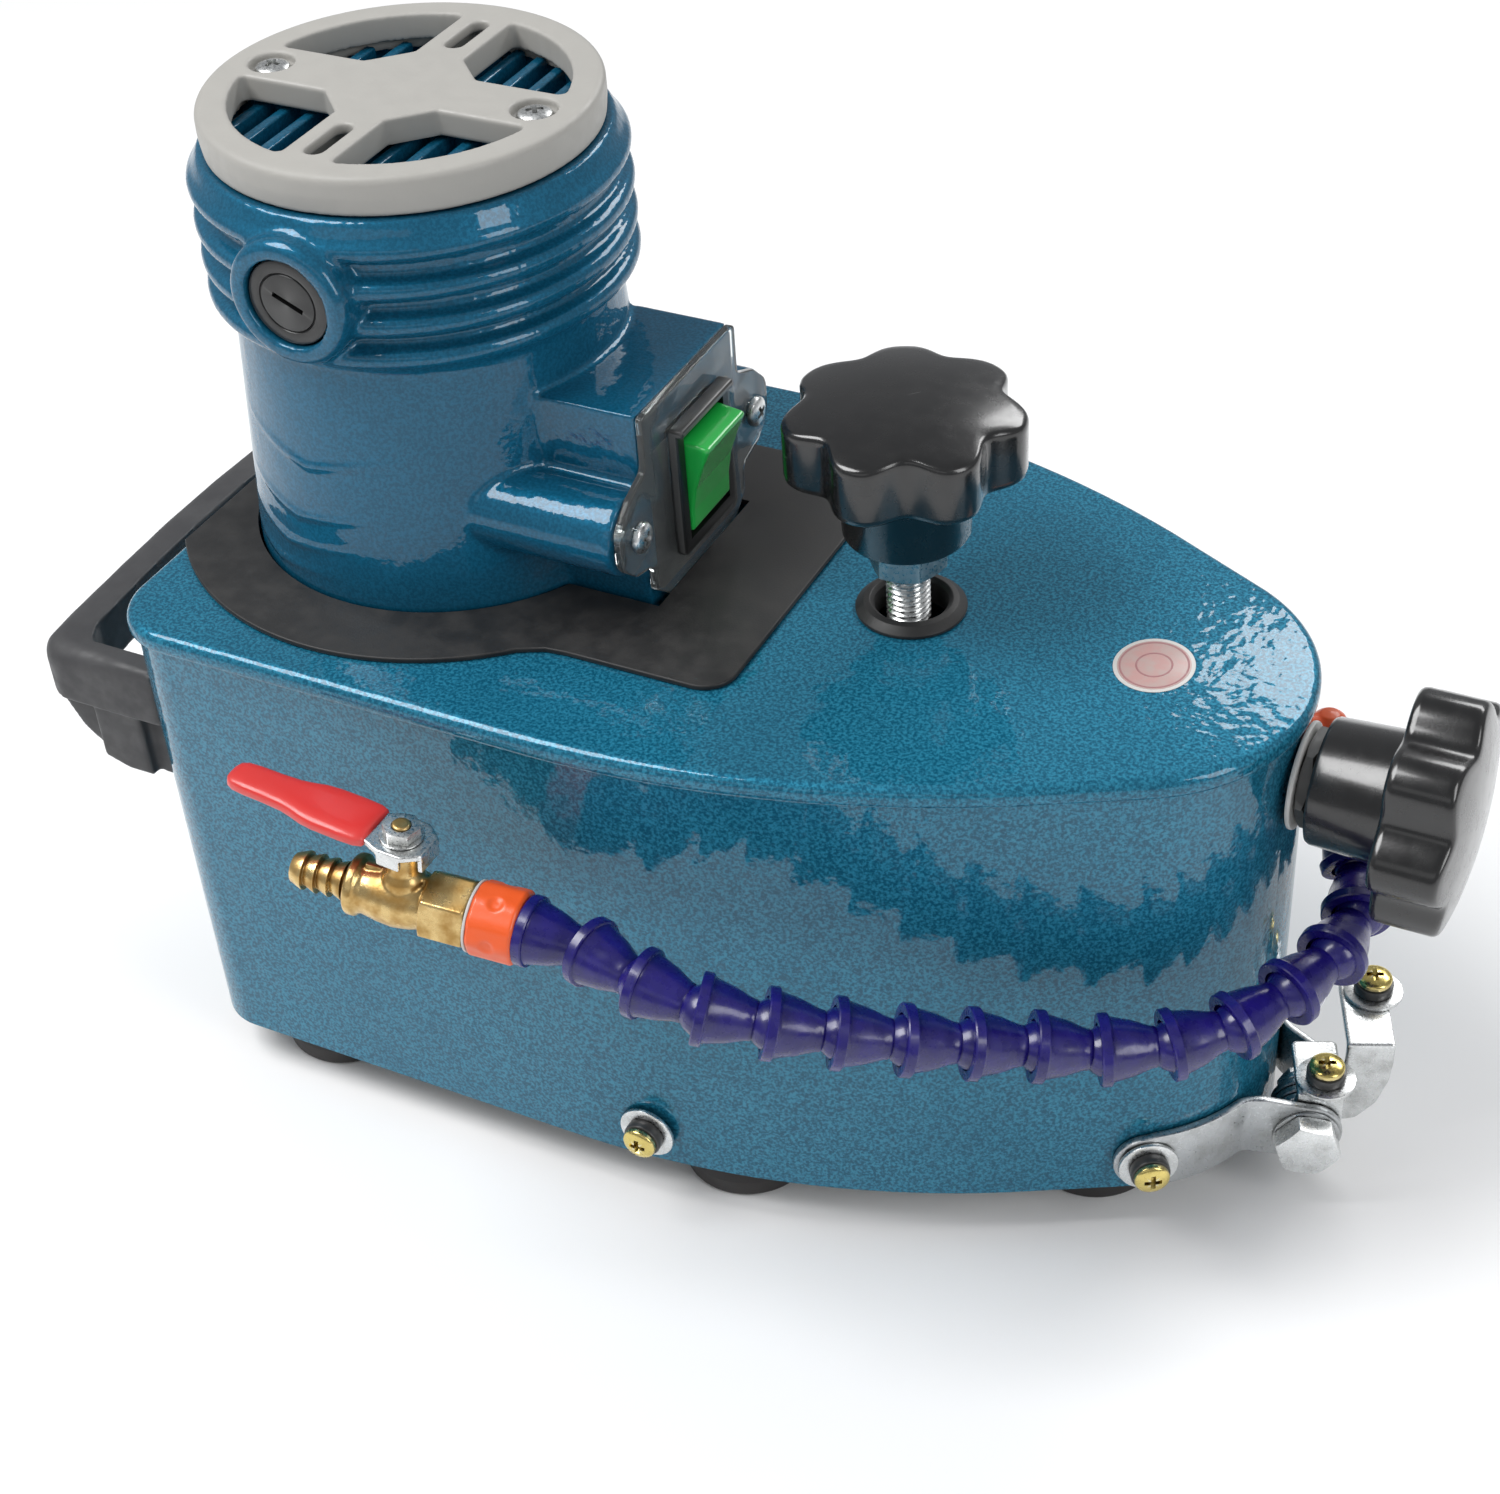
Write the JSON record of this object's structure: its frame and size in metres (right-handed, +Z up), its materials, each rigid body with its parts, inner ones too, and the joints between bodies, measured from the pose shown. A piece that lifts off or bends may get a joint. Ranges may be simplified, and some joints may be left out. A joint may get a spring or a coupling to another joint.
{
  "type": "wet grinding machine",
  "caption": "Portable wet grinding machine: a painted housing on rubber feet with a lifting vertical motor, cross feed, star knobs, rear handle and a water valve on a segmented hose.",
  "frame": {"origin": "centre of the spindle's lower end face, at rest", "axes": "+X from the motor towards the rounded nose and its feed knob, +Z up along the spindle, +Y away from the hose side"},
  "size_m": [0.4025, 0.2177, 0.2915],
  "materials": {
    "blue_paint": "hammered gloss paint",
    "grey_plastic": "satin moulded",
    "black_plastic": "polished moulded",
    "black_rubber": "matt",
    "zinc": "bright zinc plated",
    "steel": "machined",
    "gold_zinc": "yellow zinc plated",
    "brass": "cast and machined",
    "orange_plastic": "moulded",
    "violet_plastic": "moulded",
    "red_grip": "dipped sleeve",
    "green_plastic": "moulded",
    "clear_plastic": "clear sheet",
    "aluminium": "cast",
    "copper_winding": "varnished winding",
    "abrasive": "bonded abrasive",
    "carbon": "pressed"
  },
  "bodies": {
    "housing": {"cover_shell": "blue_paint", "base_plate": "aluminium", "foot_rear_near": "black_rubber", "foot_rear_far": "black_rubber", "foot_mid_near": "black_rubber", "foot_mid_far": "black_rubber", "foot_front_near": "black_rubber", "foot_front_far": "black_rubber", "screw_grommet": "black_rubber", "grip_handle": "black_plastic", "side_screw_near": "gold_zinc", "side_screw_far": "gold_zinc", "strap_screw_near": "gold_zinc", "strap_screw_far": "gold_zinc", "nose_strap_near": "zinc", "nose_strap_far": "zinc", "inner_bracket": "zinc", "outer_bracket": "zinc", "clamp_bolt": "zinc", "inner_bracket_screw": "gold_zinc", "outer_bracket_screw": "gold_zinc", "feed_bush": "black_plastic", "water_fitting": "orange_plastic", "hose_root": "violet_plastic"},
    "roller": {"guide_roller": "steel"},
    "cross_slide": {"cross_slide_plate": "steel", "guide_column_near": "steel", "guide_column_far": "steel", "opening_gasket": "black_rubber"},
    "lift_unit": {"motor_housing": "blue_paint", "vent_cap": "grey_plastic", "cap_screw_near": "zinc", "cap_screw_far": "zinc", "switch_plate": "clear_plastic", "switch_body": "black_plastic", "switch_screw_near": "zinc", "switch_screw_far": "zinc", "brush_cap_near": "black_plastic", "brush_cap_far": "black_plastic", "carbon_brush_near": "carbon", "carbon_brush_far": "carbon", "stator": "copper_winding", "lift_bracket": "aluminium", "upper_bearing": "steel", "lower_bearing": "steel"},
    "rotor": {"spindle": "steel", "armature": "copper_winding", "cooling_fan": "black_plastic", "grinding_wheel": "abrasive", "wheel_nut": "zinc"},
    "rocker": {"switch_rocker": "green_plastic"},
    "height_drive": {"height_knob": "black_plastic", "height_screw": "zinc"},
    "feed_drive": {"feed_knob": "black_plastic", "feed_screw": "zinc"},
    "hose_mid_run": {"hose_middle": "violet_plastic"},
    "hose_end_run": {"hose_tail": "violet_plastic", "hose_nut": "orange_plastic", "valve_body": "brass"},
    "lever": {"valve_lever": "red_grip"}
  },
  "joints": [
    {"name": "feed_knob_turn", "type": "hinge", "parent": "housing", "child": "feed_drive", "pos_m": [0.2565, 0, 0.1374], "axis": [1, 0, 0], "range_deg": [-720.1, 0]},
    {"name": "cross_feed", "type": "slide", "parent": "housing", "child": "cross_slide", "axis": [1, 0, 0], "range_m": [0, 0.003]},
    {"name": "height_knob_turn", "type": "hinge", "parent": "cross_slide", "child": "height_drive", "pos_m": [0.1405, 0, 0.1857], "axis": [0, 0, 1], "range_deg": [-2057.2, 1645.8]},
    {"name": "lift", "type": "slide", "parent": "cross_slide", "child": "lift_unit", "axis": [0, 0, 1], "range_m": [-0.008, 0.01]},
    {"name": "spindle_spin", "type": "hinge", "parent": "lift_unit", "child": "rotor", "pos_m": [0, 0, 0], "axis": [0, 0, 1], "continuous": true},
    {"name": "switch_rock", "type": "hinge", "parent": "lift_unit", "child": "rocker", "pos_m": [0.078, 0, 0.191], "axis": [0, -1, 0], "range_deg": [0, 24]},
    {"name": "roller_spin", "type": "hinge", "parent": "housing", "child": "roller", "pos_m": [0.2655, -0.0124, 0.0195], "axis": [-0.3827, 0.9239, 0], "continuous": true},
    {"name": "hose_front_bend", "type": "hinge", "parent": "housing", "child": "hose_mid_run", "pos_m": [0.26009, -0.03092, 0.08906], "axis": [0, 0, 1], "range_deg": [0, 20]},
    {"name": "hose_rear_bend", "type": "hinge", "parent": "hose_mid_run", "child": "hose_end_run", "pos_m": [0.16155, -0.09868, 0.09916], "axis": [0, 0, 1], "range_deg": [0, 20]},
    {"name": "valve_turn", "type": "hinge", "parent": "hose_end_run", "child": "lever", "pos_m": [0.0443, -0.112, 0.1156], "axis": [0.1035, 0.0145, 0.9945], "range_deg": [0, 90]}
  ],
  "couplings": [
    {"joint": "feed_knob_turn", "follows": "cross_feed", "rad_per_m": -4188.8},
    {"joint": "height_knob_turn", "follows": "lift", "rad_per_m": -3590.4}
  ]
}
